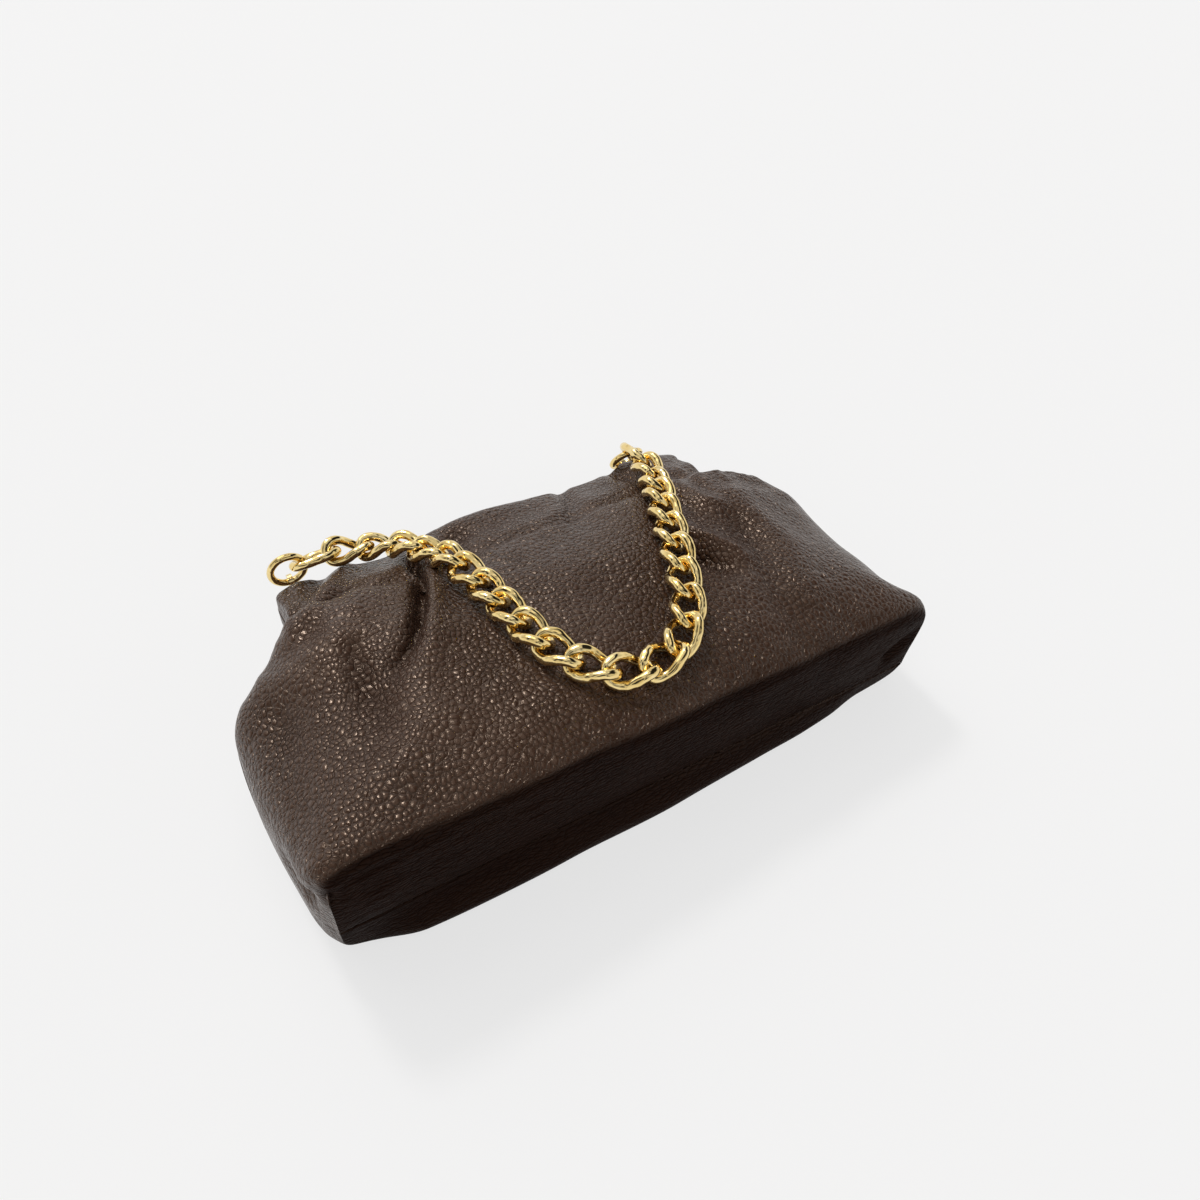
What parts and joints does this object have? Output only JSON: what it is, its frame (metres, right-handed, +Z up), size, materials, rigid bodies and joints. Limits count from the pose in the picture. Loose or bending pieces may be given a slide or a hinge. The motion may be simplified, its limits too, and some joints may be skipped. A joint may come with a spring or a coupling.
{
  "type": "chain shoulder bag",
  "caption": "Soft gathered leather shoulder bag with a hinged frame mouth, a boxed base and a curb chain strap, lying on its back with the chain looped over its front.",
  "frame": {"origin": "on the floor under the middle of the bag, at the middle of its resting back panel", "axes": "+X along the base fold and the mouth, +Y from the base to the mouth, +Z up through the front panel"},
  "size_m": [0.3278, 0.187, 0.0881],
  "materials": {
    "front_leather": "pebbled, semi-gloss",
    "back_leather": "pebbled, semi-gloss",
    "facing_leather": "smooth, matte",
    "lining_fabric": "woven twill, matte",
    "board": "matte",
    "frame_steel": "brushed",
    "magnet_nickel": "polished",
    "tab_brass": "polished pale gold",
    "chain_brass": "polished pale gold"
  },
  "bodies": {
    "bag": {"front_panel": "front_leather", "back_panel": "back_leather", "front_mouth_band": "front_leather", "lining": "lining_fabric", "base_board": "board", "front_frame": "frame_steel", "front_facing": "facing_leather", "front_lip_board": "board", "front_magnets": "magnet_nickel", "chain_tab_left": "tab_brass", "chain_tab_right": "tab_brass", "tab_rivets": "tab_brass", "hinge_pin_left": "frame_steel", "hinge_pin_right": "frame_steel"},
    "mouth_flap": {"back_mouth_band": "back_leather", "back_frame": "frame_steel", "back_facing": "facing_leather", "back_lip_board": "board", "back_magnets": "magnet_nickel"},
    "chain": {"end_ring_left": "chain_brass", "end_ring_right": "chain_brass", "link_01": "chain_brass", "link_02": "chain_brass", "link_03": "chain_brass", "link_04": "chain_brass", "link_05": "chain_brass", "link_06": "chain_brass", "link_07": "chain_brass", "link_08": "chain_brass", "link_09": "chain_brass", "link_10": "chain_brass", "link_11": "chain_brass", "link_12": "chain_brass", "link_13": "chain_brass", "link_14": "chain_brass", "link_15": "chain_brass", "link_16": "chain_brass", "link_17": "chain_brass", "link_18": "chain_brass", "link_19": "chain_brass", "link_20": "chain_brass", "link_21": "chain_brass", "link_22": "chain_brass", "link_23": "chain_brass", "link_24": "chain_brass"}
  },
  "joints": [
    {"name": "mouth_open", "type": "hinge", "parent": "bag", "child": "mouth_flap", "pos_m": [0, 0.057, 0.032], "axis": [-1, 0, 0], "range_deg": [0, 60]},
    {"name": "chain_swing", "type": "hinge", "parent": "bag", "child": "chain", "pos_m": [0, 0.0906, 0.03615], "axis": [-1, 0, 0], "range_deg": [0, 110]}
  ]
}
